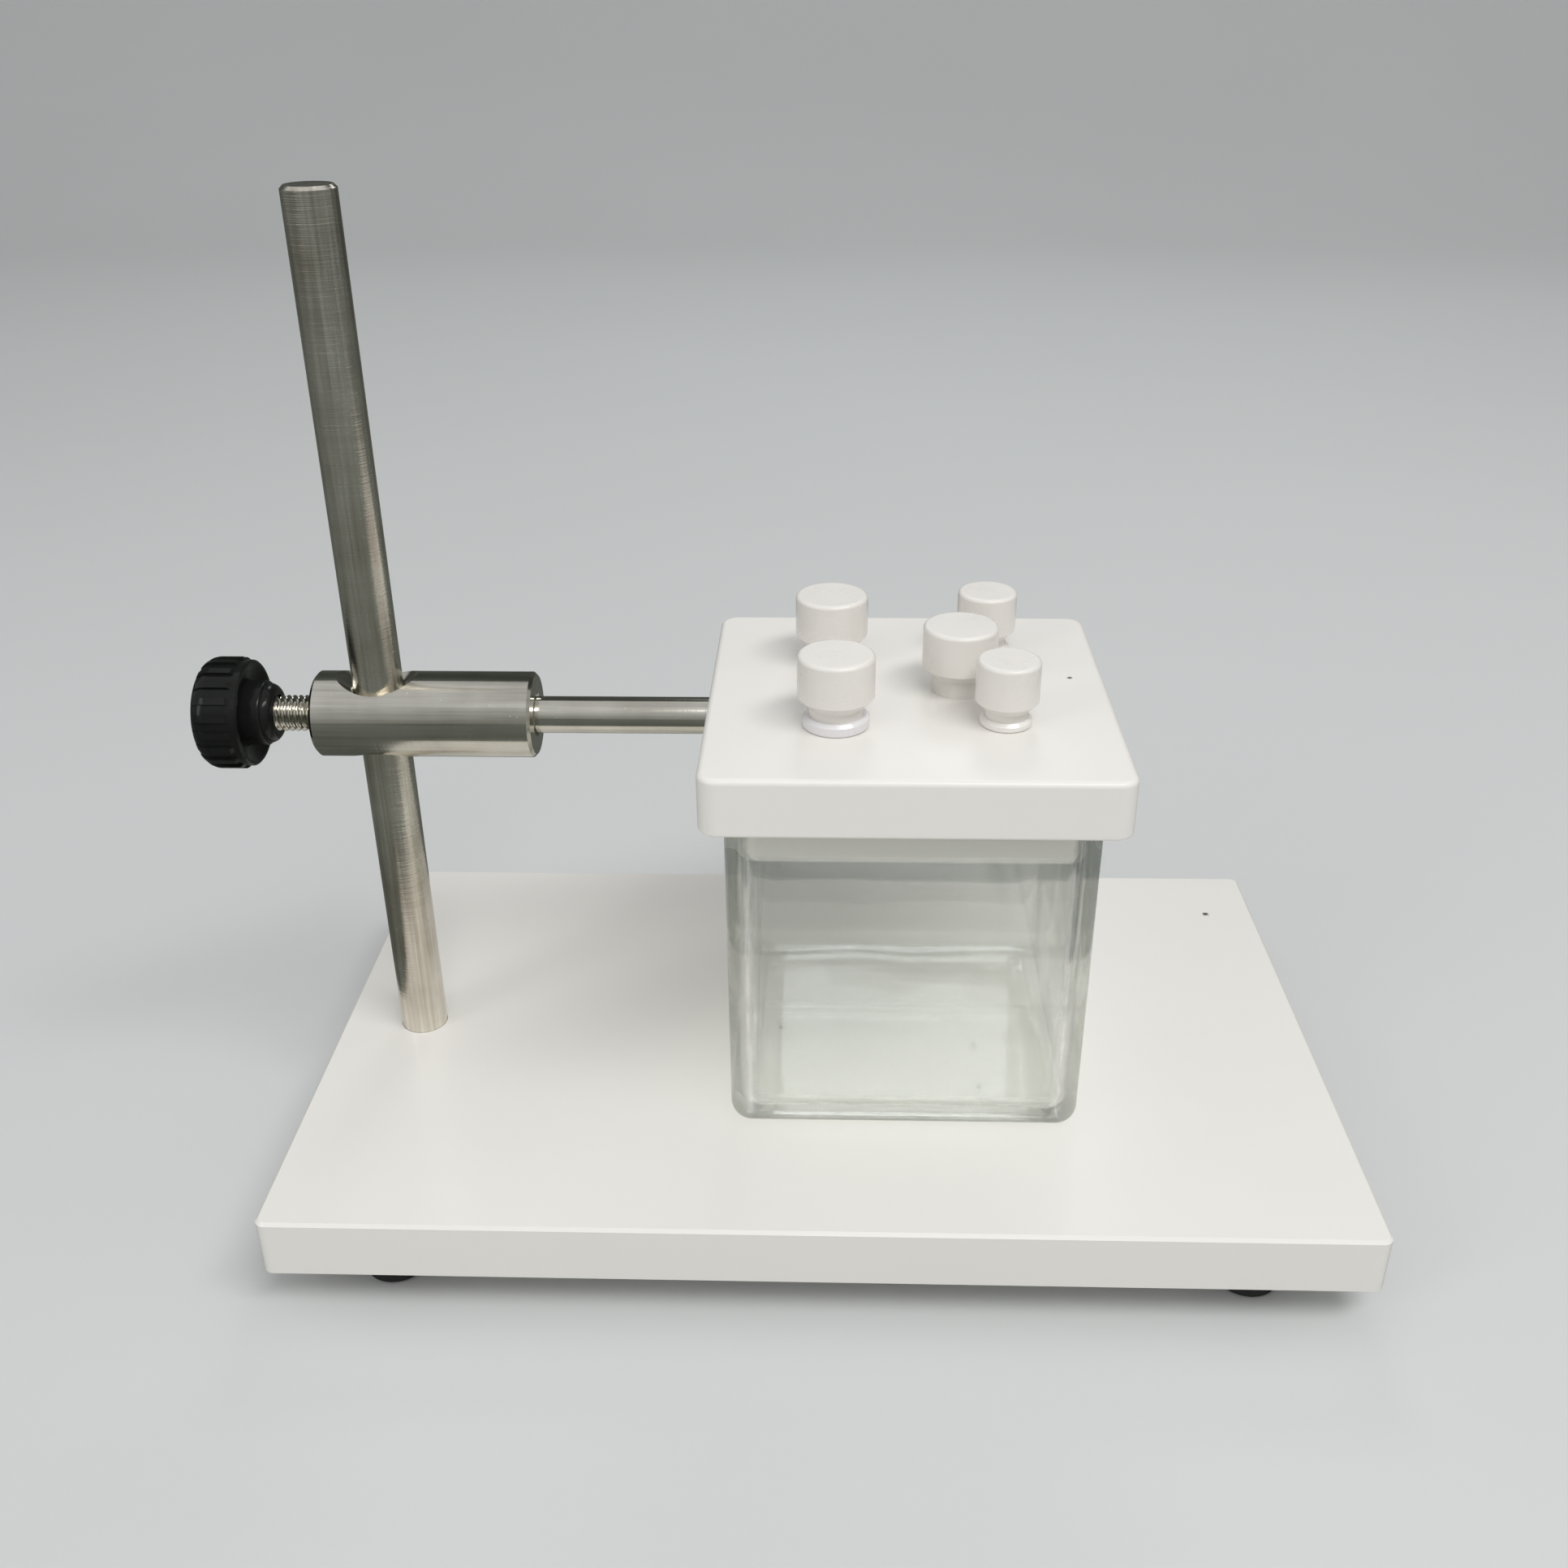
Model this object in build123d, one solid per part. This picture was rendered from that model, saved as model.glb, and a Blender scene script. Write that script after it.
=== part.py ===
"""Electrochemical cell: a square glass vessel under a five-port lid, held by an arm on a rod stand."""

import os
from math import asin, degrees

from build123d import *

# Driving dimensions, in millimetres

PLATE_LENGTH = 173.0
PLATE_DEPTH = 105.0
PLATE_THICK = 10.5
PLATE_CORNER_R = 1.8
PLATE_EDGE = 0.5

FOOT_HEIGHT = 7.0
FOOT_TOP_R = 5.5
FOOT_BOTTOM_R = 5.0
FOOT_END_INSET = 18.0
FOOT_SIDE_INSET = 10.4
FOOT_RECESS_R = 3.2
FOOT_RECESS_DEPTH = 3.2
FOOT_SCREW_R = 1.5
FOOT_SCREW_HEAD_R = 2.8
FOOT_SCREW_HEAD = 2.2
FOOT_SCREW_BITE = 6.0

ROD_R = 4.0
ROD_INSET = 14.4
ROD_TOP = 143.0
ROD_SEAT = 3.5
ROD_CHAMFER = 0.5

ROD_SCREW_R = 2.0
ROD_SCREW_REACH = 9.0
ROD_SCREW_HEAD_R = 3.5
ROD_SCREW_HEAD = 3.8
ROD_SCREW_POCKET = 4.2

GLASS_WIDTH = 57.0
GLASS_HEIGHT = 56.8
GLASS_WALL = 2.5
GLASS_FLOOR = 2.6
GLASS_CORNER_R = 3.6
GLASS_FOOT_R = 3.4
GLASS_INNER_FOOT_R = 2.6
GLASS_RIM_R = 0.6
CELL_INSET = 100.3

LID_WIDTH = 64.0
LID_THICK = 9.5
LID_CORNER_R = 3.0
LID_TOP_R = 0.9
LID_BOTTOM_R = 0.5
PLUG_GAP = 0.3
PLUG_DEPTH = 7.3
PLUG_CORNER_R = 2.6
PLUG_EDGE_R = 1.0

BLOCK_R = 7.0
BLOCK_LENGTH = 35.6
BLOCK_BEHIND = 10.1
BLOCK_CHAMFER = 0.5
COUNTERSINK_R = 6.6

ARM_R = 3.0
ARM_IN_BLOCK = 10.0
ARM_IN_LID = 12.0
ARM_MOUTH = 0.6

STUD_R = 2.95
STUD_SHOWN = 6.85
STUD_IN_KNOB = 8.6

RIM_WIDTH = 8.1
RIB_R = 9.2
DRUM_R = 8.7
RIM_ROUND = 3.0
RIB_COUNT = 20
RIB_WIDTH = 1.1
RIB_START = 0.7
RIB_DEPTH = 1.5
RIB_LIP = 1.2
DISH_OUTER_R = 8.0
DISH_INNER_R = 5.2
DISH_DEPTH = 1.1
HUB_R = 5.3
HUB_STEP = 2.4
HUB_NOSE_R = 4.9
HUB_LENGTH = 4.0
HUB_NOSE_ROUND = 1.5
BACK_DISH_R = 5.4
BACK_DISH_DEPTH = 0.4

RUNNING = 0.05
SNUG = 0.02

HEX_SIDES = 6
HEX_R = 1.7
HEX_DEPTH = 1.6

# A large stopper carries an M8 shank and a small one an M6 shank
LARGE = {
    "head_r": 5.95,
    "head_top": 11.7,
    "taper_top": 5.0,
    "neck_top": 3.2,
    "neck_r": 4.2,
    "shank_r": 3.95,
    "shank": 9.0,
    "seal_r": 5.2,
    "seal": 2.0,
    "bore_r": 3.1,
}
SMALL = {
    "head_r": 4.9,
    "head_top": 10.6,
    "taper_top": 4.0,
    "neck_top": 2.4,
    "neck_r": 3.3,
    "shank_r": 2.95,
    "shank": 7.0,
    "seal_r": 4.05,
    "seal": 1.4,
    "bore_r": 2.1,
}
HEAD_EDGE_R = 0.6
SEAL_EDGE = 0.5
TAP_SPARE = 1.0

# The middle stopper seats on the lid itself, and its seal is hidden round its shank
GROOVE_R = 3.0
GROOVE_TOP = 5.0
GROOVE_HEIGHT = 1.6
HIDDEN_SEAL_R = 3.9
HIDDEN_SEAL_EDGE = 0.3

# Each port: name, distance from the lid's centre along X and Y, size, and whether its seal shows
PORTS = [
    ("front_left", -11.7, -12.9, LARGE, True),
    ("back_left", -12.4, 12.0, LARGE, True),
    ("middle", 8.0, 0.4, LARGE, False),
    ("front_right", 14.4, -12.0, SMALL, True),
    ("back_right", 13.6, 17.0, SMALL, True),
]

# Places worked out from the dimensions above

KNOB_REACH = BLOCK_BEHIND + STUD_SHOWN + HUB_LENGTH + RIM_WIDTH - ROD_INSET
PLATE_LEFT = (KNOB_REACH - PLATE_LENGTH) / 2
PLATE_X = PLATE_LEFT + PLATE_LENGTH / 2
PLATE_BOTTOM = FOOT_HEIGHT
PLATE_TOP = PLATE_BOTTOM + PLATE_THICK
ROD_X = PLATE_LEFT + ROD_INSET
CELL_X = PLATE_LEFT + CELL_INSET
LID_BOTTOM = PLATE_TOP + GLASS_HEIGHT
LID_TOP = LID_BOTTOM + LID_THICK
ARM_Z = LID_BOTTOM + LID_THICK / 2
BLOCK_LEFT = ROD_X - BLOCK_BEHIND
BLOCK_RIGHT = BLOCK_LEFT + BLOCK_LENGTH
LID_LEFT = CELL_X - LID_WIDTH / 2
HUB_END = BLOCK_LEFT - STUD_SHOWN
KNOB_LEFT = HUB_END - HUB_LENGTH - RIM_WIDTH
FOOT_X = PLATE_LENGTH / 2 - FOOT_END_INSET
FOOT_Y = PLATE_DEPTH / 2 - FOOT_SIDE_INSET

UPRIGHT = (Align.CENTER, Align.CENTER, Align.MIN)
TINY = 0.01


# Shared shapes

def post(radius, low, high, x=0.0, y=0.0):
    """An upright cylinder from one height to another."""
    return Pos(x, y, low) * Cylinder(radius, high - low, align=UPRIGHT)


def bar(radius, left, right, z):
    """A cylinder lying along X over the plate's middle line."""
    return Pos(left, 0, z) * Rot(0, 90, 0) * Cylinder(radius, right - left, align=UPRIGHT)


def slab(width, depth, low, high, corner_r):
    """An upright block with rounded corners."""
    outline = RectangleRounded(width, depth, corner_r)
    return Pos(0, 0, low) * extrude(outline, high - low)


def turned(points):
    """A solid turned about Z from its outline, given as radius and height."""
    outline = Plane.XZ * make_face(Polyline(*points, close=True))
    return revolve(outline, Axis.Z)


def edges_at(solid, height):
    """The solid's edges that lie at one height."""
    return solid.edges().filter_by_position(Axis.Z, height - TINY, height + TINY)


def circles_at(solid, height, radius):
    """The round edges of one radius at one height."""
    rings = edges_at(solid, height).filter_by(GeomType.CIRCLE)
    return rings.filter_by(lambda edge: abs(edge.radius - radius) < TINY)


def feet_places():
    """Each foot's name and its place under the plate."""
    for side, y in (("front", -FOOT_Y), ("back", FOOT_Y)):
        for end, x in (("left", PLATE_X - FOOT_X), ("right", PLATE_X + FOOT_X)):
            yield f"foot_{side}_{end}", x, y


# The stand

def make_plate():
    """The base plate, with the rod's seat, its screw pocket and the holes for the feet."""
    plate = slab(PLATE_LENGTH, PLATE_DEPTH, PLATE_BOTTOM, PLATE_TOP, PLATE_CORNER_R)
    plate = chamfer(edges_at(plate, PLATE_TOP), PLATE_EDGE)
    plate = chamfer(edges_at(plate, PLATE_BOTTOM), PLATE_EDGE)
    plate = Pos(PLATE_X, 0, 0) * plate
    plate -= post(ROD_R + RUNNING, PLATE_TOP - ROD_SEAT, PLATE_TOP, ROD_X)
    plate -= post(ROD_SCREW_R + 2 * RUNNING, PLATE_BOTTOM, PLATE_TOP, ROD_X)
    plate -= post(ROD_SCREW_HEAD_R + 2 * RUNNING, PLATE_BOTTOM, PLATE_BOTTOM + ROD_SCREW_POCKET, ROD_X)
    for _, x, y in feet_places():
        plate -= post(FOOT_SCREW_R + SNUG, PLATE_BOTTOM, PLATE_BOTTOM + FOOT_SCREW_BITE + 0.5, x, y)
    return plate


def make_foot(x, y):
    """A tapered rubber foot with a recess below for its screw's head."""
    foot = turned([(0, 0), (FOOT_BOTTOM_R, 0), (FOOT_TOP_R, FOOT_HEIGHT), (0, FOOT_HEIGHT)])
    foot = chamfer(circles_at(foot, 0, FOOT_BOTTOM_R), 0.5)
    foot -= post(FOOT_RECESS_R, 0, FOOT_RECESS_DEPTH)
    foot -= post(FOOT_SCREW_R + SNUG, 0, FOOT_HEIGHT)
    return Pos(x, y, 0) * foot


def make_foot_screw(x, y):
    """A pan-head screw that holds one foot to the plate."""
    head_bottom = FOOT_RECESS_DEPTH - FOOT_SCREW_HEAD
    screw = post(FOOT_SCREW_HEAD_R, head_bottom, FOOT_RECESS_DEPTH)
    screw = chamfer(circles_at(screw, head_bottom, FOOT_SCREW_HEAD_R), 0.7)
    screw += post(FOOT_SCREW_R, FOOT_RECESS_DEPTH, PLATE_BOTTOM + FOOT_SCREW_BITE)
    slot = Box(FOOT_SCREW_HEAD_R * 1.2, 0.7, 1.0)
    screw -= Pos(0, 0, head_bottom) * slot
    screw -= Pos(0, 0, head_bottom) * Rot(0, 0, 90) * slot
    return Pos(x, y, 0) * screw


def make_rod():
    """The upright rod, chamfered at both ends and tapped from below."""
    bottom = PLATE_TOP - ROD_SEAT
    top = PLATE_TOP + ROD_TOP
    rod = post(ROD_R, bottom, top)
    rod = chamfer(circles_at(rod, top, ROD_R), ROD_CHAMFER)
    rod = chamfer(circles_at(rod, bottom, ROD_R), ROD_CHAMFER)
    rod -= post(ROD_SCREW_R + SNUG, bottom, bottom + ROD_SCREW_REACH + 1.0)
    return Pos(ROD_X, 0, 0) * rod


def make_rod_screw():
    """The socket-head screw that holds the rod down from below."""
    head_top = PLATE_BOTTOM + ROD_SCREW_POCKET
    head_bottom = head_top - ROD_SCREW_HEAD
    screw = post(ROD_SCREW_HEAD_R, head_bottom, head_top)
    screw = chamfer(circles_at(screw, head_bottom, ROD_SCREW_HEAD_R), 0.4)
    screw += post(ROD_SCREW_R, head_top, PLATE_TOP - ROD_SEAT + ROD_SCREW_REACH)
    key = extrude(RegularPolygon(HEX_R, HEX_SIDES), HEX_DEPTH)
    screw -= Pos(0, 0, head_bottom) * key
    return Pos(ROD_X, 0, 0) * screw


# The clamp and its arm

def make_block():
    """The round clamp block: a cross bore with a deep saddle-shaped countersink above and below."""
    block = Cylinder(BLOCK_R, BLOCK_LENGTH, align=UPRIGHT)
    block = chamfer(block.edges().filter_by(GeomType.CIRCLE), BLOCK_CHAMFER)
    block = Pos(BLOCK_LEFT, 0, ARM_Z) * Rot(0, 90, 0) * block
    bore_r = ROD_R + RUNNING
    block -= post(bore_r, ARM_Z - BLOCK_R, ARM_Z + BLOCK_R, ROD_X)
    slope = COUNTERSINK_R - bore_r
    funnel = turned([
        (0, BLOCK_R - slope),
        (bore_r, BLOCK_R - slope),
        (COUNTERSINK_R + 1.0, BLOCK_R + 1.0),
        (0, BLOCK_R + 1.0),
    ])
    block -= Pos(ROD_X, 0, ARM_Z) * funnel
    block -= Pos(ROD_X, 0, ARM_Z) * Rot(180, 0, 0) * funnel
    block -= bar(STUD_R + RUNNING, BLOCK_LEFT, ROD_X, ARM_Z)
    block -= bar(ARM_R + SNUG, BLOCK_RIGHT - ARM_IN_BLOCK, BLOCK_RIGHT, ARM_Z)
    mouth = Cone(ARM_R, ARM_R + ARM_MOUTH, ARM_MOUTH, align=UPRIGHT)
    block -= Pos(BLOCK_RIGHT - ARM_MOUTH, 0, ARM_Z) * Rot(0, 90, 0) * mouth
    return block


def make_arm():
    """The thin arm between the clamp block and the lid."""
    left = BLOCK_RIGHT - ARM_IN_BLOCK
    right = LID_LEFT + ARM_IN_LID
    arm = Cylinder(ARM_R, right - left, align=UPRIGHT)
    arm = chamfer(arm.edges().filter_by(GeomType.CIRCLE), 0.4)
    return Pos(left, 0, ARM_Z) * Rot(0, 90, 0) * arm


def make_stud():
    """The thumb screw's stud: its tip bears on the rod and its tail is inside the knob."""
    left = HUB_END - STUD_IN_KNOB
    right = ROD_X - ROD_R - RUNNING
    stud = Cylinder(STUD_R, right - left, align=UPRIGHT)
    stud = chamfer(stud.edges().filter_by(GeomType.CIRCLE), 0.5)
    return Pos(left, 0, ARM_Z) * Rot(0, 90, 0) * stud


def make_rib():
    """One of the knob's ribs: it rounds over like the drum at one end and slopes off at the lip."""
    ribs_end = RIM_WIDTH - RIB_LIP
    inner_r = DRUM_R - RIB_DEPTH
    rib_height = RIB_R - DRUM_R
    turn = degrees(asin((RIM_ROUND - RIB_START) / RIM_ROUND))
    round_end = CenterArc((RIB_R - RIM_ROUND, RIM_ROUND), RIM_ROUND, -turn, turn)
    outline = Curve() + [
        Line((inner_r, RIB_START), round_end @ 0),
        round_end,
        Polyline(
            round_end @ 1,
            (RIB_R, ribs_end - rib_height),
            (DRUM_R, ribs_end),
            (inner_r, ribs_end),
            (inner_r, RIB_START),
        ),
    ]
    return extrude(Plane.XZ * make_face(outline), RIB_WIDTH / 2, both=True)


def make_knob():
    """The moulded thumb knob: a ribbed drum with a smooth lip, a dished face and a stepped hub."""
    drum = Cylinder(DRUM_R, RIM_WIDTH, align=UPRIGHT)
    drum = fillet(circles_at(drum, 0, DRUM_R), RIM_ROUND - (RIB_R - DRUM_R))
    drum = chamfer(circles_at(drum, RIM_WIDTH, DRUM_R), 0.25)
    rib = make_rib()
    knob = drum + [place * rib for place in PolarLocations(0, RIB_COUNT)]
    knob -= turned([
        (0, RIM_WIDTH - DISH_DEPTH),
        (DISH_INNER_R, RIM_WIDTH - DISH_DEPTH),
        (DISH_OUTER_R, RIM_WIDTH),
        (0, RIM_WIDTH),
    ])
    hub = post(HUB_R, RIM_WIDTH - DISH_DEPTH, RIM_WIDTH + HUB_STEP)
    hub = fillet(circles_at(hub, RIM_WIDTH + HUB_STEP, HUB_R), 0.4)
    nose = post(HUB_NOSE_R, RIM_WIDTH - DISH_DEPTH, RIM_WIDTH + HUB_LENGTH)
    nose = fillet(circles_at(nose, RIM_WIDTH + HUB_LENGTH, HUB_NOSE_R), HUB_NOSE_ROUND)
    knob += hub + nose
    knob -= post(BACK_DISH_R, 0, BACK_DISH_DEPTH)
    hole_bottom = RIM_WIDTH + HUB_LENGTH - STUD_IN_KNOB - 0.3
    knob -= post(STUD_R + RUNNING, hole_bottom, RIM_WIDTH + HUB_LENGTH)
    return Pos(KNOB_LEFT, 0, ARM_Z) * Rot(0, 90, 0) * knob


# The cell

def make_glass():
    """The square glass vessel, with a thick floor, rounded corners and a rounded foot."""
    glass = slab(GLASS_WIDTH, GLASS_WIDTH, 0, GLASS_HEIGHT, GLASS_CORNER_R)
    glass = fillet(edges_at(glass, 0), GLASS_FOOT_R)
    inner = GLASS_WIDTH - 2 * GLASS_WALL
    hollow = slab(inner, inner, GLASS_FLOOR, GLASS_HEIGHT + 1, GLASS_INNER_FOOT_R + 0.2)
    hollow = fillet(edges_at(hollow, GLASS_FLOOR), GLASS_INNER_FOOT_R)
    glass -= hollow
    glass = fillet(edges_at(glass, GLASS_HEIGHT), GLASS_RIM_R)
    return Pos(CELL_X, 0, PLATE_TOP) * glass


def make_lid():
    """The lid: a thick plate with a plug below, five stepped port holes and the arm's hole."""
    lid = slab(LID_WIDTH, LID_WIDTH, 0, LID_THICK, LID_CORNER_R)
    lid = fillet(edges_at(lid, LID_THICK), LID_TOP_R)
    lid = fillet(edges_at(lid, 0), LID_BOTTOM_R)
    plug_width = GLASS_WIDTH - 2 * GLASS_WALL - 2 * PLUG_GAP
    plug = slab(plug_width, plug_width, -PLUG_DEPTH, 1, PLUG_CORNER_R)
    plug = fillet(edges_at(plug, -PLUG_DEPTH), PLUG_EDGE_R)
    lid += plug
    for _, x, y, size, _ in PORTS:
        tap_bottom = LID_THICK - size["shank"] - TAP_SPARE
        lid -= post(size["shank_r"] + RUNNING, tap_bottom, LID_THICK, x, y)
        lid -= post(size["bore_r"], -PLUG_DEPTH, LID_THICK, x, y)
    lid = Pos(CELL_X, 0, LID_BOTTOM) * lid
    lid -= bar(ARM_R + SNUG, LID_LEFT, LID_LEFT + ARM_IN_LID, ARM_Z)
    return lid


def make_stopper(x, y, size, seal_shows):
    """A screw-in stopper: a plain round head, a taper, a neck and a shank in the lid."""
    seat = size["seal"] if seal_shows else 0.0
    drop = 0.0 if seal_shows else size["seal"] - 1.4
    taper_top = size["taper_top"] - drop
    neck_top = size["neck_top"] - drop
    head_top = size["head_top"] - drop
    stopper = turned([
        (0, -size["shank"]),
        (size["shank_r"] - 0.5, -size["shank"]),
        (size["shank_r"], 0.5 - size["shank"]),
        (size["shank_r"], seat),
        (size["neck_r"], seat),
        (size["neck_r"], neck_top),
        (size["head_r"], taper_top),
        (size["head_r"], head_top),
        (0, head_top),
    ])
    stopper = fillet(circles_at(stopper, head_top, size["head_r"]), HEAD_EDGE_R)
    if not seal_shows:
        groove_bottom = -GROOVE_TOP - GROOVE_HEIGHT
        stopper -= turned([
            (GROOVE_R, groove_bottom),
            (size["shank_r"] + 1, groove_bottom),
            (size["shank_r"] + 1, -GROOVE_TOP),
            (GROOVE_R, -GROOVE_TOP),
        ])
    return Pos(CELL_X + x, y, LID_TOP) * stopper


def make_seal(x, y, size, seal_shows):
    """A soft ring that seals one stopper, on the lid or round the stopper's shank."""
    if seal_shows:
        low = 0.0
        high = size["seal"]
        outer_r = size["seal_r"]
        inner_r = size["shank_r"] + RUNNING
        edge = SEAL_EDGE
    else:
        low = -GROOVE_TOP - GROOVE_HEIGHT
        high = -GROOVE_TOP
        outer_r = HIDDEN_SEAL_R
        inner_r = GROOVE_R + RUNNING
        edge = HIDDEN_SEAL_EDGE
    ring = turned([
        (inner_r, low),
        (outer_r - edge / 2, low),
        (outer_r, low + edge / 2),
        (outer_r, high - edge),
        (outer_r - edge, high),
        (inner_r, high),
    ])
    return Pos(CELL_X + x, y, LID_TOP) * ring


def make_parts():
    """Every piece of the cell by name."""
    parts = {
        "base_plate": make_plate(),
        "upright_rod": make_rod(),
        "rod_screw": make_rod_screw(),
        "glass_cell": make_glass(),
        "clamp_block": make_block(),
        "arm_rod": make_arm(),
        "lid": make_lid(),
        "thumb_screw_stud": make_stud(),
        "thumb_knob": make_knob(),
    }
    for name, x, y in feet_places():
        parts[name] = make_foot(x, y)
    parts["foot_screws"] = Compound([make_foot_screw(x, y).solid() for _, x, y in feet_places()])
    for name, x, y, size, seal_shows in PORTS:
        parts[f"seal_{name}"] = make_seal(x, y, size, seal_shows)
        parts[f"stopper_{name}"] = make_stopper(x, y, size, seal_shows)
    return parts


def main():
    os.makedirs("parts", exist_ok=True)
    for name, shape in make_parts().items():
        export_step(shape, f"parts/{name}.step")


main()
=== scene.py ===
"""Looks of an electrochemical cell: glass vessel, white polymer lid and plate, and a turned steel stand."""

import math

import bmesh
import bpy
from mathutils import Matrix, Vector
from mathutils import noise as shape_noise


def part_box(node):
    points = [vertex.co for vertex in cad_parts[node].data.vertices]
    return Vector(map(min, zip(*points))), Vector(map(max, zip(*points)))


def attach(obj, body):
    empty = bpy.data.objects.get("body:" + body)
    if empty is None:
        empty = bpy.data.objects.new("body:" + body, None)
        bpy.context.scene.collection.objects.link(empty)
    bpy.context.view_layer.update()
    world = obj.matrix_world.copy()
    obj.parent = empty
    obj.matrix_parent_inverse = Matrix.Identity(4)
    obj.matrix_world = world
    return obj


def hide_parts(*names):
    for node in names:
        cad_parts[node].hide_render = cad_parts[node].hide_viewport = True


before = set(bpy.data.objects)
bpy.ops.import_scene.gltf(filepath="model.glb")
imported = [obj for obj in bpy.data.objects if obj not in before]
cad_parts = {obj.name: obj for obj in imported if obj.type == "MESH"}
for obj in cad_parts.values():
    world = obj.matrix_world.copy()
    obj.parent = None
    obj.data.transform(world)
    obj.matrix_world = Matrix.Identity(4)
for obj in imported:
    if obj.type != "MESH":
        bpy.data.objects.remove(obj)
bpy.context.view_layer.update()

MM = 0.001

# Places from the frame

plate_low, plate_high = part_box("base_plate")
rod_low, rod_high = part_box("upright_rod")
arm_low, arm_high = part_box("arm_rod")
stud_low, stud_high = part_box("thumb_screw_stud")
glass_low, glass_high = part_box("glass_cell")
_, lid_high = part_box("lid")

ROD_X = (rod_low.x + rod_high.x) / 2
CELL_X = (glass_low.x + glass_high.x) / 2
ARM_Z = (arm_low.z + arm_high.z) / 2
PLATE_TOP = plate_high.z

# Camera, fitted to edges in the photograph, from the plate's front left corner

IMAGE_SIDE = 1932
FOCAL_PIXELS = 1909.5
CAMERA_FROM_CORNER = Vector((87.71, -175.55, 168.99)) * MM
CAMERA_PITCH = 27.73
CAMERA_YAW = -1.898
CAMERA_ROLL = -0.449
SENSOR_WIDTH = 36.0

# Glass vessel

GLASS_HALF = (glass_high.x - glass_low.x) / 2
GLASS_HEIGHT = glass_high.z - glass_low.z
GLASS_WALL = 2.5 * MM
GLASS_FLOOR = 2.6 * MM
GLASS_OUTER_CORNER = 3.6 * MM
GLASS_INNER_CORNER = 2.8 * MM
GLASS_FOOT = 3.4 * MM
GLASS_INNER_FOOT = 2.6 * MM
GLASS_RIM = 0.6 * MM
GLASS_LIFT = 0.02 * MM
GLASS_IOR = 1.43
GLASS_ALPHA = 0.64
BASE_HOLLOW = 0.35 * MM
HOLLOW_INSET = 5.4 * MM
BEARING_STEP = 1.2 * MM
SMALLEST_RING = 1.5 * MM
SMALLEST_CORNER = 0.3 * MM
WALL_ROW = 0.8 * MM
FLOOR_ROW = 2.4 * MM
CORNER_STEPS = 14
SIDE_STEPS = 34
FOOT_ANGLES = range(0, 91, 10)
RIM_ANGLES = (0.0, 0.5, 1.0, 1.5708)
OUTER_WAVE = 0.05 * MM
INNER_WAVE = 0.16 * MM
OUTER_WRINKLE = 0.05 * MM
INNER_WRINKLE = 0.10 * MM
WAVE_LENGTH = 11.0 * MM
WRINKLE_LENGTH = 2.6 * MM
WRINKLE_TOP = 24.0 * MM
STEADY_RIM = 10.0 * MM
CORNER_ZONE = 0.28

# Stud's thread

THREAD_PITCH = 1.0 * MM
THREAD_DEPTH = 0.42 * MM
THREAD_SEGMENTS = 48
THREAD_ROWS = 8
THREAD_ROOT = 0.12
THREAD_FLANK = 0.76

# Stage

FLOOR_FRONT = -2.0
FLOOR_BACK = 1.0
SWEEP_R = 0.8
SWEEP_TOP = 3.0
SWEEP_HALF = 3.5
SWEEP_STEPS = 24
FLOOR_SHADE = (0.58, 0.59, 0.585)
FLOOR_PALE = (0.62, 0.63, 0.625)
# Painted reflection: the near-black colour the floor takes only in glossy rays, so steel and the knob
# mirror a dark floor
FLOOR_PAINTED_REFLECTION = (0.11, 0.12, 0.105)
WORLD_HORIZON = (0.30, 0.31, 0.30)
WORLD_ZENITH = (0.66, 0.67, 0.68)
LAMP_AIM = (0.0, 0.0, 0.06)

# Angles up to which faces look smooth, in degrees

PART_SMOOTH = 30
RING_SMOOTH = 40
THREAD_SMOOTH = 50
FLOOR_SMOOTH = 60
VESSEL_SMOOTH = 70

# Colours, each as a pale and a dark tone

POLYMER_TONES = ((0.80, 0.775, 0.735), (0.785, 0.76, 0.72))
STOPPER_TONES = ((0.785, 0.755, 0.71), (0.755, 0.725, 0.68))
ROD_TONES = ((0.84, 0.81, 0.73), (0.48, 0.43, 0.36))
BAR_TONES = ((0.66, 0.64, 0.57), (0.42, 0.40, 0.34))
RING_TONES = ((0.82, 0.80, 0.76), (0.78, 0.76, 0.72))
GREY_RING_TONES = ((0.77, 0.75, 0.76), (0.73, 0.71, 0.72))
KNOB_TONES = ((0.014, 0.015, 0.014), (0.005, 0.0055, 0.005))
RUBBER_TONES = ((0.035, 0.034, 0.033), (0.012, 0.012, 0.012))

# Colours of marks, pits and dust

MARK_ON_WHITE = (0.05, 0.045, 0.04)
MARK_ON_STEEL = (0.015, 0.013, 0.012)
PIT = (0.78, 0.77, 0.73)
DUST = (0.16, 0.16, 0.15)


def from_corner(x, y, z):
    """A place from the plate's front left corner, in millimetres along the plate, at a height in metres."""
    return (plate_low.x + x * MM, plate_low.y + y * MM, z)


# Small dark marks, each as a place and a radius

PLATE_MARKS = (
    (from_corner(163.6, 90.9, PLATE_TOP), 0.7 * MM),
    (from_corner(113.4, 34.7, PLATE_TOP), 0.6 * MM),
    (from_corner(79.4, 50.9, PLATE_TOP), 0.6 * MM),
)
LID_MARKS = ((from_corner(126.8, 57.7, lid_high.z), 0.5 * MM),)
ROD_MARKS = (((ROD_X - 3.95 * MM, -0.7 * MM, PLATE_TOP + 127.3 * MM), 0.6 * MM),)


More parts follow.
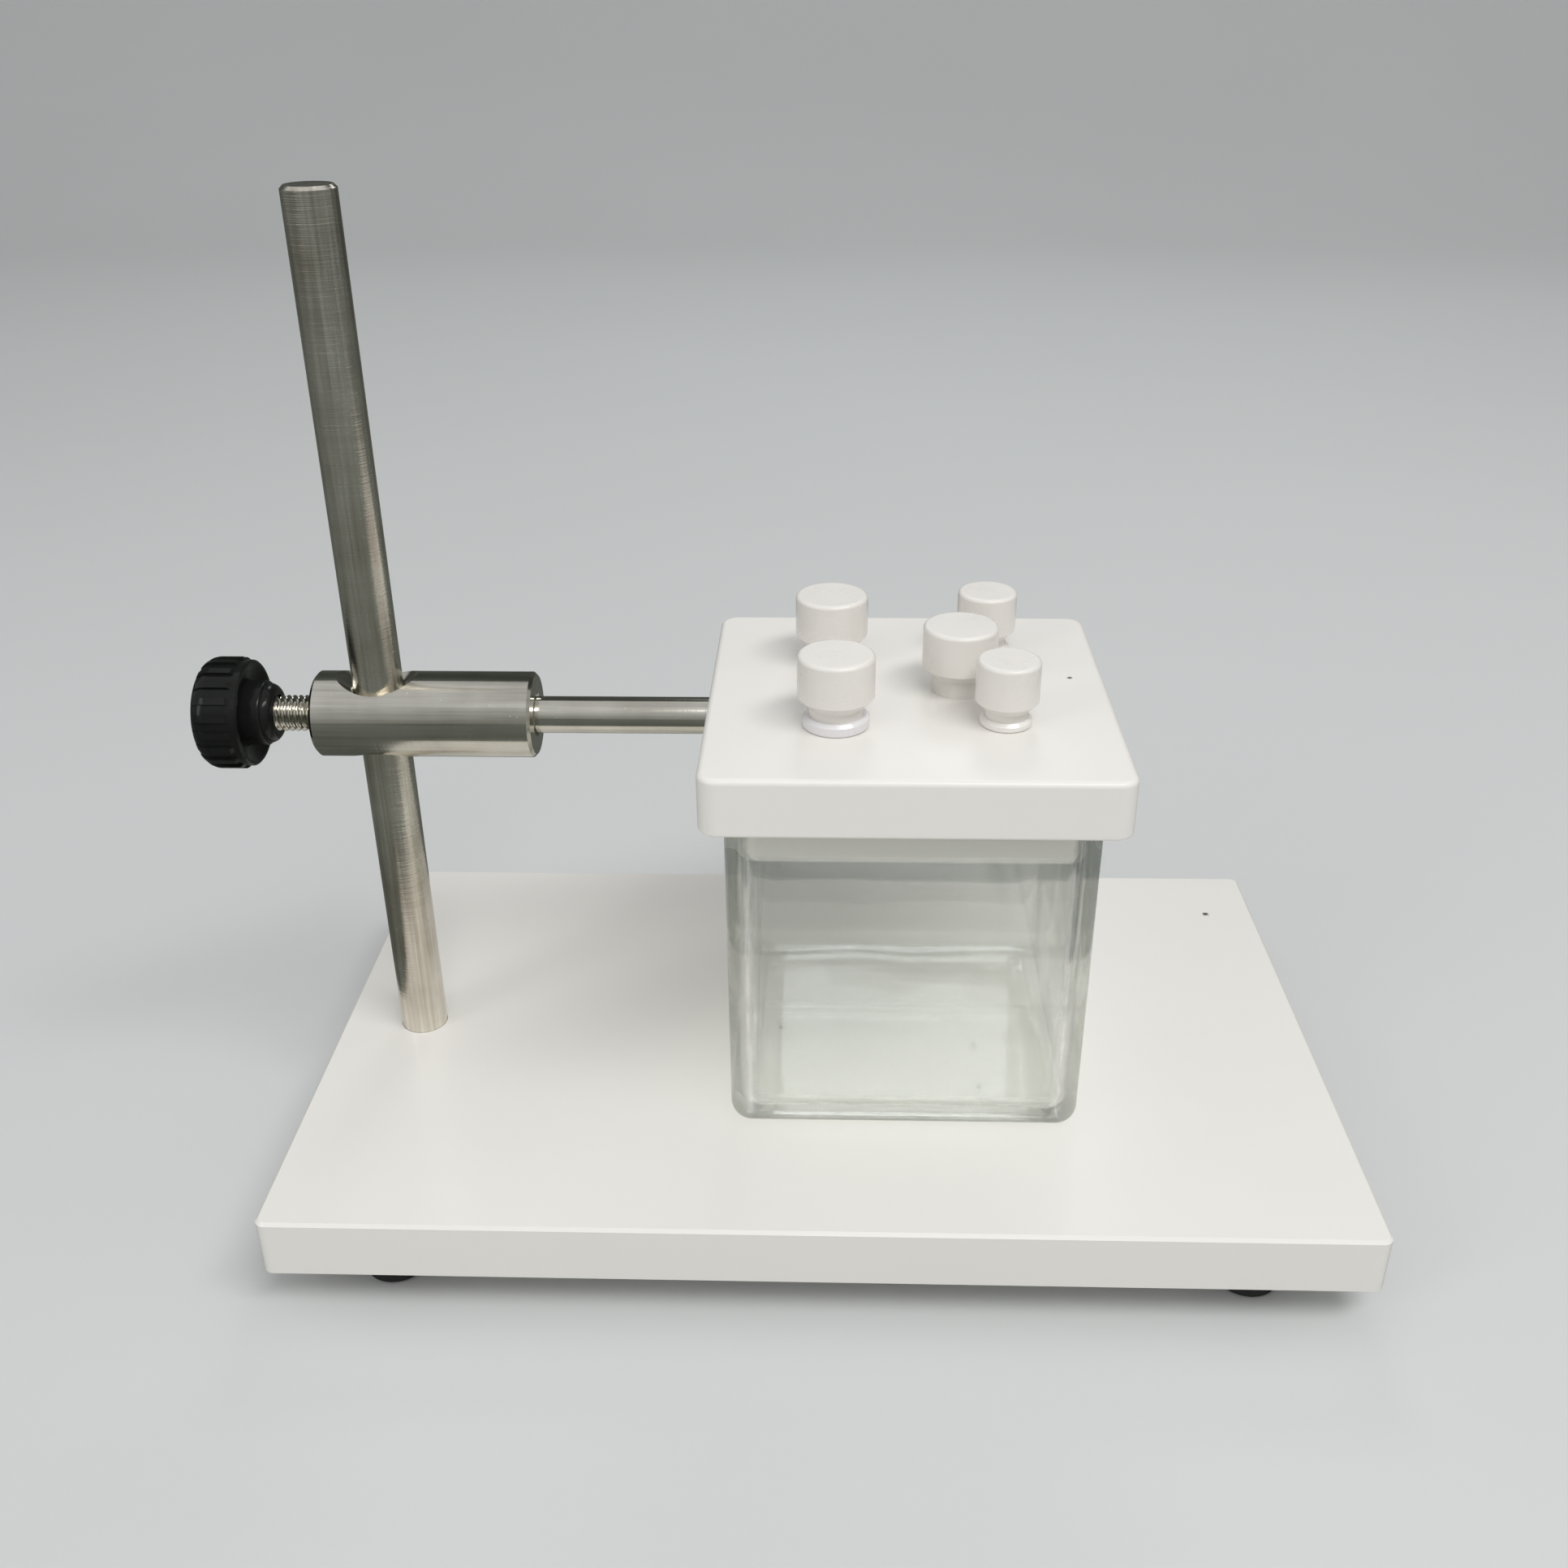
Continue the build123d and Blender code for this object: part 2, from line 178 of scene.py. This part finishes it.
def make_camera():
    """The camera at the photograph's place, over the plate's front edge."""
    data = bpy.data.cameras.new("camera")
    data.sensor_width = SENSOR_WIDTH
    data.lens = FOCAL_PIXELS * SENSOR_WIDTH / IMAGE_SIDE
    data.clip_start = 0.01
    data.clip_end = 10.0
    camera = bpy.data.objects.new("camera", data)
    bpy.context.scene.collection.objects.link(camera)
    pitch = math.radians(CAMERA_PITCH)
    yaw = math.radians(CAMERA_YAW)
    roll = math.radians(CAMERA_ROLL)
    forward = Vector((
        math.sin(yaw) * math.cos(pitch),
        math.cos(yaw) * math.cos(pitch),
        -math.sin(pitch),
    ))
    level = Vector((math.cos(yaw), -math.sin(yaw), 0.0))
    upward = level.cross(forward)
    right = level * math.cos(roll) + upward * math.sin(roll)
    up = upward * math.cos(roll) - level * math.sin(roll)
    turn = Matrix((right, up, -forward)).transposed()
    corner = Vector((plate_low.x, plate_low.y, PLATE_TOP))
    camera.matrix_world = Matrix.Translation(corner + CAMERA_FROM_CORNER) @ turn.to_4x4()
    bpy.context.scene.camera = camera


# Material helpers

def new_material(name):
    """An empty node material with its shader."""
    material = bpy.data.materials.new(name)
    material.use_nodes = True
    tree = material.node_tree
    shader = tree.nodes["Principled BSDF"]
    return material, tree, shader


def add(tree, kind, **inputs):
    """A node with the named inputs set."""
    node = tree.nodes.new(kind)
    for key, value in inputs.items():
        node.inputs[key.replace("_", " ")].default_value = value
    return node


def place(tree, scale=(1.0, 1.0, 1.0)):
    """Coordinates in the object's own space, in metres, stretched by scale."""
    coordinates = tree.nodes.new("ShaderNodeTexCoord")
    mapping = tree.nodes.new("ShaderNodeMapping")
    mapping.inputs["Scale"].default_value = scale
    tree.links.new(coordinates.outputs["Object"], mapping.inputs["Vector"])
    return mapping.outputs["Vector"]


def noise(tree, vector, scale, detail=3.0, roughness=0.5):
    """A noise texture's value."""
    node = add(tree, "ShaderNodeTexNoise", Scale=scale, Detail=detail, Roughness=roughness)
    tree.links.new(vector, node.inputs["Vector"])
    return node.outputs["Fac"]


def ramp(tree, value, low, high, out_low=0.0, out_high=1.0):
    """A value carried from one span to another, with both ends held."""
    node = tree.nodes.new("ShaderNodeMapRange")
    node.inputs["From Min"].default_value = low
    node.inputs["From Max"].default_value = high
    node.inputs["To Min"].default_value = out_low
    node.inputs["To Max"].default_value = out_high
    tree.links.new(value, node.inputs["Value"])
    return node.outputs["Result"]


def blend_colours(tree, factor, first, second):
    """A colour between two, by a factor. Each colour is a value or a socket."""
    node = tree.nodes.new("ShaderNodeMix")
    node.data_type = "RGBA"
    tree.links.new(factor, node.inputs["Factor"])
    for socket, colour in ((node.inputs[6], first), (node.inputs[7], second)):
        if isinstance(colour, tuple):
            socket.default_value = (*colour, 1.0)
        else:
            tree.links.new(colour, socket)
    return node.outputs[2]


def bump(tree, shader, height, strength, distance):
    """A bump on the shader from a height."""
    node = add(tree, "ShaderNodeBump", Strength=strength, Distance=distance)
    tree.links.new(height, node.inputs["Height"])
    tree.links.new(node.outputs["Normal"], shader.inputs["Normal"])


def combine(tree, operation, first, second):
    """Two values combined by a math operation. The second is a value or a socket."""
    node = tree.nodes.new("ShaderNodeMath")
    node.operation = operation
    tree.links.new(first, node.inputs[0])
    if isinstance(second, float):
        node.inputs[1].default_value = second
    else:
        tree.links.new(second, node.inputs[1])
    return node.outputs[0]


def multiply(tree, first, second):
    """The product of two values."""
    return combine(tree, "MULTIPLY", first, second)


def add_values(tree, first, second):
    """The sum of two values."""
    return combine(tree, "ADD", first, second)


def specks(tree, vector, scale, size):
    """Sparse round specks: 1 on a speck and 0 elsewhere."""
    cells = add(tree, "ShaderNodeTexVoronoi", Scale=scale, Randomness=1.0)
    tree.links.new(vector, cells.inputs["Vector"])
    dots = ramp(tree, cells.outputs["Distance"], size * 0.6, size, 1.0, 0.0)
    lot = tree.nodes.new("ShaderNodeSeparateColor")
    tree.links.new(cells.outputs["Color"], lot.inputs["Color"])
    chosen = ramp(tree, lot.outputs["Red"], 0.86, 0.88)
    return multiply(tree, dots, chosen)


def spot(tree, centre, radius):
    """One small mark with a soft, uneven edge: 1 inside and 0 outside."""
    vector = place(tree)
    distance = tree.nodes.new("ShaderNodeVectorMath")
    distance.operation = "DISTANCE"
    tree.links.new(vector, distance.inputs[0])
    distance.inputs[1].default_value = centre
    ragged = ramp(tree, noise(tree, vector, 2500.0), 0.3, 0.7, 0.7, 1.3)
    return ramp(tree, multiply(tree, distance.outputs["Value"], ragged), radius * 0.6, radius, 1.0, 0.0)


def marked(tree, colour, marks, paint, strength):
    """A colour with its marks painted over it."""
    for centre, radius in marks:
        colour = blend_colours(tree, multiply(tree, spot(tree, centre, radius), strength), colour, paint)
    return colour


# Materials

def make_polymer(name, rough_low, rough_high, mark_strength, marks):
    """White sintered polymer: faint clouding, milling marks, a few placed dark marks and a waxy sheen."""
    material, tree, shader = new_material(name)
    colour, shade = POLYMER_TONES
    vector = place(tree)
    clouds = noise(tree, vector, 28.0, detail=4.0)
    base = blend_colours(tree, ramp(tree, clouds, 0.2, 0.8), shade, colour)
    base = marked(tree, base, marks, MARK_ON_WHITE, 0.9)
    tree.links.new(base, shader.inputs["Base Color"])
    rough = ramp(tree, noise(tree, vector, 140.0), 0.3, 0.7, rough_low, rough_high)
    tree.links.new(rough, shader.inputs["Roughness"])
    shader.inputs["IOR"].default_value = 1.42
    streaks = noise(tree, place(tree, (40.0, 700.0, 700.0)), 1.0, detail=2.0)
    grain = noise(tree, vector, 900.0, detail=2.0)
    height = add_values(tree, multiply(tree, streaks, 0.6), multiply(tree, grain, 0.4))
    bump(tree, shader, height, mark_strength, 0.00005)
    return material


def make_steel(name, along, tones, rough_low, rough_high, groove_depth, marks=()):
    """Drawn and turned stainless steel: long streaks along the bar, fine grooves round it, pale pits."""
    material, tree, shader = new_material(name)
    colour, dark = tones
    groove_scale = [60.0, 60.0, 60.0]
    groove_scale["XYZ".index(along)] = 3600.0
    grooves = noise(tree, place(tree, tuple(groove_scale)), 1.0, detail=3.0, roughness=0.6)
    streak_scale = [760.0, 760.0, 760.0]
    streak_scale["XYZ".index(along)] = 16.0
    streaks = noise(tree, place(tree, tuple(streak_scale)), 1.0, detail=4.0, roughness=0.65)
    clouds = noise(tree, place(tree), 90.0, detail=4.0)
    mixed = add_values(tree, multiply(tree, streaks, 0.6), multiply(tree, clouds, 0.4))
    tint = blend_colours(tree, ramp(tree, mixed, 0.38, 0.62), dark, colour)
    pits = specks(tree, place(tree), 900.0, 0.16)
    tint = blend_colours(tree, multiply(tree, pits, 0.7), tint, PIT)
    tint = marked(tree, tint, marks, MARK_ON_STEEL, 0.95)
    tree.links.new(tint, shader.inputs["Base Color"])
    shader.inputs["Metallic"].default_value = 1.0
    wear = add_values(tree, multiply(tree, grooves, 0.4), multiply(tree, streaks, 0.6))
    tree.links.new(ramp(tree, wear, 0.35, 0.65, rough_low, rough_high), shader.inputs["Roughness"])
    height = add_values(tree, multiply(tree, grooves, groove_depth), multiply(tree, streaks, 0.4))
    bump(tree, shader, height, 0.35, 0.00004)
    return material


def make_glass_material():
    """Clear pressed glass with a grey-green body colour.

    Part of the light goes straight through, because light trapped in the walls would leave black edges.
    """
    material, tree, shader = new_material("vessel_glass")
    vector = place(tree)
    shader.inputs["Base Color"].default_value = (0.99, 1.0, 0.995, 1.0)
    rough = ramp(tree, noise(tree, vector, 90.0), 0.4, 0.75, 0.0, 0.015)
    tree.links.new(rough, shader.inputs["Roughness"])
    shader.inputs["IOR"].default_value = GLASS_IOR
    shader.inputs["Transmission Weight"].default_value = 1.0
    shader.inputs["Alpha"].default_value = GLASS_ALPHA
    ripples = noise(tree, vector, 60.0, detail=1.0)
    bump(tree, shader, ripples, 0.10, 0.0002)
    paths = tree.nodes.new("ShaderNodeLightPath")
    clear = add(tree, "ShaderNodeBsdfTransparent", Color=(0.97, 0.975, 0.965, 1.0))
    output = tree.nodes["Material Output"]
    surface = shader.outputs["BSDF"]
    for ray in ("Is Diffuse Ray", "Is Shadow Ray"):
        mix = tree.nodes.new("ShaderNodeMixShader")
        tree.links.new(paths.outputs[ray], mix.inputs["Fac"])
        tree.links.new(surface, mix.inputs[1])
        tree.links.new(clear.outputs["BSDF"], mix.inputs[2])
        surface = mix.outputs["Shader"]
    tree.links.new(surface, output.inputs["Surface"])
    body = add(tree, "ShaderNodeVolumeAbsorption", Density=11.0)
    body.inputs["Color"].default_value = (0.66, 0.72, 0.52, 1.0)
    tree.links.new(body.outputs["Volume"], output.inputs["Volume"])
    return material


def make_black_plastic():
    """Glossy black moulded plastic with a faint flow texture and scattered dust."""
    material, tree, shader = new_material("knob_plastic")
    colour, dark = KNOB_TONES
    vector = place(tree)
    tint = blend_colours(tree, noise(tree, vector, 240.0, detail=4.0), dark, colour)
    dust = specks(tree, vector, 2600.0, 0.14)
    tinted = blend_colours(tree, multiply(tree, dust, 0.35), tint, DUST)
    tree.links.new(tinted, shader.inputs["Base Color"])
    rough = ramp(tree, noise(tree, vector, 420.0), 0.35, 0.7, 0.12, 0.26)
    tree.links.new(rough, shader.inputs["Roughness"])
    shader.inputs["IOR"].default_value = 1.4
    shader.inputs["Specular IOR Level"].default_value = 0.25
    bump(tree, shader, noise(tree, vector, 1300.0, detail=2.0), 0.14, 0.00005)
    return material


def make_rubber():
    """Matt black rubber."""
    material, tree, shader = new_material("foot_rubber")
    colour, dark = RUBBER_TONES
    vector = place(tree)
    tint = blend_colours(tree, noise(tree, vector, 500.0, detail=4.0), dark, colour)
    tree.links.new(tint, shader.inputs["Base Color"])
    rough = ramp(tree, noise(tree, vector, 900.0), 0.3, 0.7, 0.62, 0.82)
    tree.links.new(rough, shader.inputs["Roughness"])
    bump(tree, shader, noise(tree, vector, 2200.0), 0.3, 0.0001)
    return material


def make_silicone(name, tones):
    """Glossy, whitish soft ring."""
    material, tree, shader = new_material(name)
    colour, shade = tones
    vector = place(tree)
    tint = blend_colours(tree, noise(tree, vector, 180.0, detail=3.0), shade, colour)
    tree.links.new(tint, shader.inputs["Base Color"])
    rough = ramp(tree, noise(tree, vector, 320.0), 0.35, 0.7, 0.14, 0.28)
    tree.links.new(rough, shader.inputs["Roughness"])
    shader.inputs["Coat Weight"].default_value = 0.15
    shader.inputs["Coat Roughness"].default_value = 0.12
    bump(tree, shader, noise(tree, vector, 700.0), 0.10, 0.00005)
    return material


def make_stopper_material():
    """Whitish polymer with fine turning rings and a soft sheen."""
    material, tree, shader = new_material("stopper_polymer")
    colour, shade = STOPPER_TONES
    vector = place(tree)
    clouds = noise(tree, vector, 120.0, detail=4.0)
    tint = blend_colours(tree, ramp(tree, clouds, 0.2, 0.8), shade, colour)
    tree.links.new(tint, shader.inputs["Base Color"])
    rough = ramp(tree, noise(tree, vector, 200.0), 0.2, 0.8, 0.24, 0.34)
    tree.links.new(rough, shader.inputs["Roughness"])
    rings = noise(tree, place(tree, (30.0, 30.0, 5200.0)), 1.0, detail=2.0)
    bump(tree, shader, rings, 0.08, 0.00002)
    return material


# Mesh helpers

def dress(obj, material, smooth_angle=PART_SMOOTH):
    """Gives an object one material, and smooth shading up to an angle in degrees."""
    obj.data.materials.clear()
    obj.data.materials.append(material)
    for face in obj.data.polygons:
        face.use_smooth = True
    obj.data.set_sharp_from_angle(angle=math.radians(smooth_angle))


def new_object(name, mesh):
    """A mesh object linked to the scene."""
    obj = bpy.data.objects.new(name, mesh)
    bpy.context.scene.collection.objects.link(obj)
    return obj


def rings_to_object(name, rings):
    """A skin over rings of points that follow each other, with its ends closed."""
    mesh = bmesh.new()
    rows = [[mesh.verts.new(point) for point in ring] for ring in rings]
    count = len(rows[0])
    for first, second in zip(rows, rows[1:]):
        for k in range(count):
            n = (k + 1) % count
            mesh.faces.new((first[k], first[n], second[n], second[k]))
    mesh.faces.new(reversed(rows[0]))
    mesh.faces.new(rows[-1])
    bmesh.ops.recalc_face_normals(mesh, faces=mesh.faces)
    data = bpy.data.meshes.new(name)
    mesh.to_mesh(data)
    mesh.free()
    return new_object(name, data)


# Glass vessel

def rounded_square(half, corner):
    """Points round a square with round corners, with their outward directions."""
    points = []
    straight = half - corner
    for side in range(4):
        turn = Matrix.Rotation(math.radians(90 * side), 2)
        for k in range(SIDE_STEPS):
            along = -straight + 2 * straight * k / SIDE_STEPS
            points.append((turn @ Vector((half, along)), turn @ Vector((1.0, 0.0))))
        for k in range(CORNER_STEPS):
            angle = math.pi / 2 * k / CORNER_STEPS
            outward = Vector((math.cos(angle), math.sin(angle)))
            points.append((turn @ (Vector((straight, straight)) + outward * corner), turn @ outward))
    return points


def section_rows(start, end, spacing):
    """Section points between two places, without the ends."""
    length = math.dist(start, end)
    count = max(1, round(length / spacing))
    return [
        (start[0] + (end[0] - start[0]) * k / count, start[1] + (end[1] - start[1]) * k / count)
        for k in range(1, count)
    ]


def outer_section():
    """The base, foot, outer wall and half the rim, as (inset from the outer face, height) points."""
    hollow = GLASS_LIFT + BASE_HOLLOW
    points = [(GLASS_HALF - SMALLEST_RING, hollow)]
    points += section_rows(points[0], (HOLLOW_INSET, hollow), FLOOR_ROW)
    points.append((HOLLOW_INSET, GLASS_LIFT + BASE_HOLLOW * 0.9))
    points.append((HOLLOW_INSET - BEARING_STEP, GLASS_LIFT))
    for degrees in FOOT_ANGLES:
        angle = math.radians(degrees)
        inset = GLASS_FOOT * (1 - math.sin(angle))
        points.append((inset, GLASS_LIFT + GLASS_FOOT * (1 - math.cos(angle))))
    rim_centre = GLASS_HEIGHT - GLASS_LIFT - GLASS_RIM
    points += section_rows(points[-1], (0.0, rim_centre), WALL_ROW)
    for angle in RIM_ANGLES:
        points.append((GLASS_RIM * (1 - math.cos(angle)), rim_centre + GLASS_RIM * math.sin(angle)))
    return points


def inner_section():
    """The other half of the rim, the inner wall, its foot and the floor, as the outer section's points."""
    rim_centre = GLASS_HEIGHT - GLASS_LIFT - GLASS_RIM
    foot_centre = GLASS_FLOOR + GLASS_INNER_FOOT
    points = []
    for angle in reversed(RIM_ANGLES):
        inset = GLASS_WALL - GLASS_RIM * (1 - math.cos(angle))
        points.append((inset, rim_centre + GLASS_RIM * math.sin(angle)))
    points += section_rows(points[-1], (GLASS_WALL, foot_centre), WALL_ROW)
    for degrees in FOOT_ANGLES:
        angle = math.radians(degrees)
        inset = GLASS_WALL + GLASS_INNER_FOOT * (1 - math.cos(angle))
        points.append((inset, foot_centre - GLASS_INNER_FOOT * math.sin(angle)))
    centre = (GLASS_HALF - SMALLEST_RING, GLASS_FLOOR)
    points += section_rows(points[-1], centre, FLOOR_ROW)
    points.append(centre)
    return points


def wavy_ring(inset, height, corner, wave, wrinkle):
    """One ring of the vessel's skin, drawn in and out a little as pressed glass is."""
    ring = []
    for flat, outward in rounded_square(GLASS_HALF - inset, corner):
        point = Vector((CELL_X + flat.x, flat.y, PLATE_TOP + height))
        swell = shape_noise.noise(point / WAVE_LENGTH)
        reach = min(abs(flat.x), abs(flat.y)) / GLASS_HALF
        near_corner = max(0.0, reach - (1.0 - CORNER_ZONE)) / CORNER_ZONE
        low = max(0.0, 1.0 - height / WRINKLE_TOP)
        share = min(1.0, near_corner * 1.6) * min(1.0, low * 2.0)
        crease = shape_noise.noise(point / WRINKLE_LENGTH) * share
        draw_in = wave * (0.5 + 0.5 * swell) + wrinkle * (0.5 + 0.5 * crease)
        ring.append(point - Vector((outward.x, outward.y, 0.0)) * draw_in)
    return ring


def make_glass_vessel(glass):
    """The vessel with its wavy walls, heavy foot and hollow base, in place of the plain one."""
    rings = []
    for inset, height in outer_section():
        corner = max(GLASS_OUTER_CORNER - inset, SMALLEST_CORNER)
        steady = min(1.0, height / GLASS_FOOT)
        rings.append(wavy_ring(inset, height, corner, OUTER_WAVE * steady, OUTER_WRINKLE * steady))
    for inset, height in inner_section():
        corner = max(GLASS_INNER_CORNER - max(inset - GLASS_WALL, 0.0), SMALLEST_CORNER)
        steady = min(1.0, (GLASS_HEIGHT - height) / STEADY_RIM)
        ring = wavy_ring(inset, height, corner, -INNER_WAVE * steady, -INNER_WRINKLE * steady)
        if inset > GLASS_WALL + GLASS_INNER_FOOT:
            for point in ring:
                point.z += INNER_WAVE * shape_noise.noise(point / WAVE_LENGTH)
        rings.append(ring)
    vessel = rings_to_object("glass_vessel", rings)
    dress(vessel, glass, VESSEL_SMOOTH)
    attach(vessel, "post")
    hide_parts("glass_cell")


# Threaded stud

def thread_ring(axis_start, x, length, radius):
    """One ring of a threaded bar along +X, whose radius follows the thread's phase."""
    ring = []
    fade = min(1.0, x / THREAD_PITCH, (length - x) / THREAD_PITCH)
    for k in range(THREAD_SEGMENTS):
        angle = math.tau * k / THREAD_SEGMENTS
        phase = (x / THREAD_PITCH - k / THREAD_SEGMENTS) % 1.0
        crest = abs(2.0 * phase - 1.0)
        profile = min(max((crest - THREAD_ROOT) / THREAD_FLANK, 0.0), 1.0)
        r = radius - THREAD_DEPTH * (1.0 - profile * fade)
        ring.append(axis_start + Vector((x, r * math.cos(angle), r * math.sin(angle))))
    return ring


def make_threaded_stud(steel):
    """The thumb screw's stud with its thread, in place of the plain stud."""
    radius = (stud_high.z - stud_low.z) / 2
    start = Vector((stud_low.x, 0.0, ARM_Z))
    length = stud_high.x - stud_low.x
    steps = round(length / THREAD_PITCH * THREAD_ROWS)
    rings = [thread_ring(start, length * k / steps, length, radius) for k in range(steps + 1)]
    bar = rings_to_object("threaded_stud", rings)
    dress(bar, steel, THREAD_SMOOTH)
    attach(bar, "knob")
    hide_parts("thumb_screw_stud")


# Floor, room and lamps

def make_stage():
    """A plain pale floor that curves up into a backdrop, with a painted dark reflection: glossy surfaces
    mirror it near black.
    """
    line = [(FLOOR_FRONT, 0.0), (FLOOR_BACK, 0.0)]
    for k in range(1, SWEEP_STEPS + 1):
        angle = math.pi / 2 * k / SWEEP_STEPS
        line.append((FLOOR_BACK + SWEEP_R * math.sin(angle), SWEEP_R * (1 - math.cos(angle))))
    line.append((FLOOR_BACK + SWEEP_R, SWEEP_TOP))
    corners = []
    for y, z in line:
        corners += [(-SWEEP_HALF, y, z), (SWEEP_HALF, y, z)]
    faces = [(2 * k, 2 * k + 1, 2 * k + 3, 2 * k + 2) for k in range(len(line) - 1)]
    mesh = bpy.data.meshes.new("floor")
    mesh.from_pydata(corners, [], faces)
    floor = new_object("floor", mesh)
    material, tree, shader = new_material("floor_paint")
    vector = place(tree)
    tint = blend_colours(tree, noise(tree, vector, 3.0), FLOOR_SHADE, FLOOR_PALE)
    paths = tree.nodes.new("ShaderNodeLightPath")
    # Glossy rays see the floor near black: a painted dark reflection on the glossy parts
    painted_reflection = blend_colours(tree, paths.outputs["Is Glossy Ray"], tint, FLOOR_PAINTED_REFLECTION)
    tree.links.new(painted_reflection, shader.inputs["Base Color"])
    shader.inputs["Roughness"].default_value = 0.75
    dress(floor, material, FLOOR_SMOOTH)


def make_world():
    """A soft room: dim near the horizon and pale overhead."""
    world = bpy.data.worlds.new("world")
    bpy.context.scene.world = world
    world.use_nodes = True
    tree = world.node_tree
    background = tree.nodes["Background"]
    direction = tree.nodes.new("ShaderNodeTexCoord")
    parts = tree.nodes.new("ShaderNodeSeparateXYZ")
    tree.links.new(direction.outputs["Generated"], parts.inputs["Vector"])
    height = ramp(tree, parts.outputs["Z"], 0.0, 0.75)
    tree.links.new(blend_colours(tree, height, WORLD_HORIZON, WORLD_ZENITH), background.inputs["Color"])
    background.inputs["Strength"].default_value = 1.0


def area_lamp(name, place_at, size, power, colour=(1.0, 1.0, 1.0)):
    """A soft rectangular lamp that points at the object."""
    data = bpy.data.lights.new(name, "AREA")
    data.shape = "RECTANGLE"
    data.size, data.size_y = size
    data.energy = power
    data.color = colour
    lamp = bpy.data.objects.new(name, data)
    bpy.context.scene.collection.objects.link(lamp)
    lamp.location = place_at
    lamp.rotation_mode = "QUATERNION"
    lamp.rotation_quaternion = (Vector(LAMP_AIM) - Vector(place_at)).to_track_quat("-Z", "Y")


def make_lamps():
    """Soft studio light: a wide overhead panel from the right, a window behind and a weak left fill."""
    area_lamp("overhead", (0.36, -0.50, 1.0), (0.9, 0.25), 6.8)
    area_lamp("window", (0.10, 0.85, 0.75), (0.30, 0.26), 1.0, (0.97, 0.99, 1.0))
    area_lamp("fill", (-0.7, -0.6, 0.5), (0.3, 0.5), 1.3)


# Whole object

def dress_frame(glass, bar_steel):
    """Gives the frame's solids their materials, except the plain stud, which the threaded one replaces."""
    rod_steel = make_steel("rod_steel", "Z", ROD_TONES, 0.16, 0.30, 2.2, ROD_MARKS)
    rubber = make_rubber()
    ring_white = make_silicone("ring_silicone", RING_TONES)
    ring_grey = make_silicone("ring_grey", GREY_RING_TONES)
    stopper = make_stopper_material()
    materials = {
        "base_plate": make_polymer("plate_polymer", 0.22, 0.27, 0.06, PLATE_MARKS),
        "lid": make_polymer("lid_polymer", 0.30, 0.35, 0.06, LID_MARKS),
        "upright_rod": rod_steel,
        "rod_screw": rod_steel,
        "foot_screws": rod_steel,
        "clamp_block": bar_steel,
        "arm_rod": bar_steel,
        "glass_cell": glass,
        "thumb_knob": make_black_plastic(),
    }
    for name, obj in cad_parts.items():
        if name in materials:
            dress(obj, materials[name])
        elif name.startswith("foot_"):
            dress(obj, rubber)
        elif name == "seal_front_left":
            dress(obj, ring_grey, RING_SMOOTH)
        elif name.startswith("seal_"):
            dress(obj, ring_white, RING_SMOOTH)
        elif name.startswith("stopper_"):
            dress(obj, stopper)


def main():
    """Sets the view and the light, then dresses the object."""
    bpy.context.scene.view_settings.view_transform = "Standard"
    make_camera()
    make_stage()
    make_world()
    make_lamps()
    glass = make_glass_material()
    bar_steel = make_steel("bar_steel", "X", BAR_TONES, 0.10, 0.20, 0.35)
    dress_frame(glass, bar_steel)
    make_glass_vessel(glass)
    make_threaded_stud(bar_steel)


main()
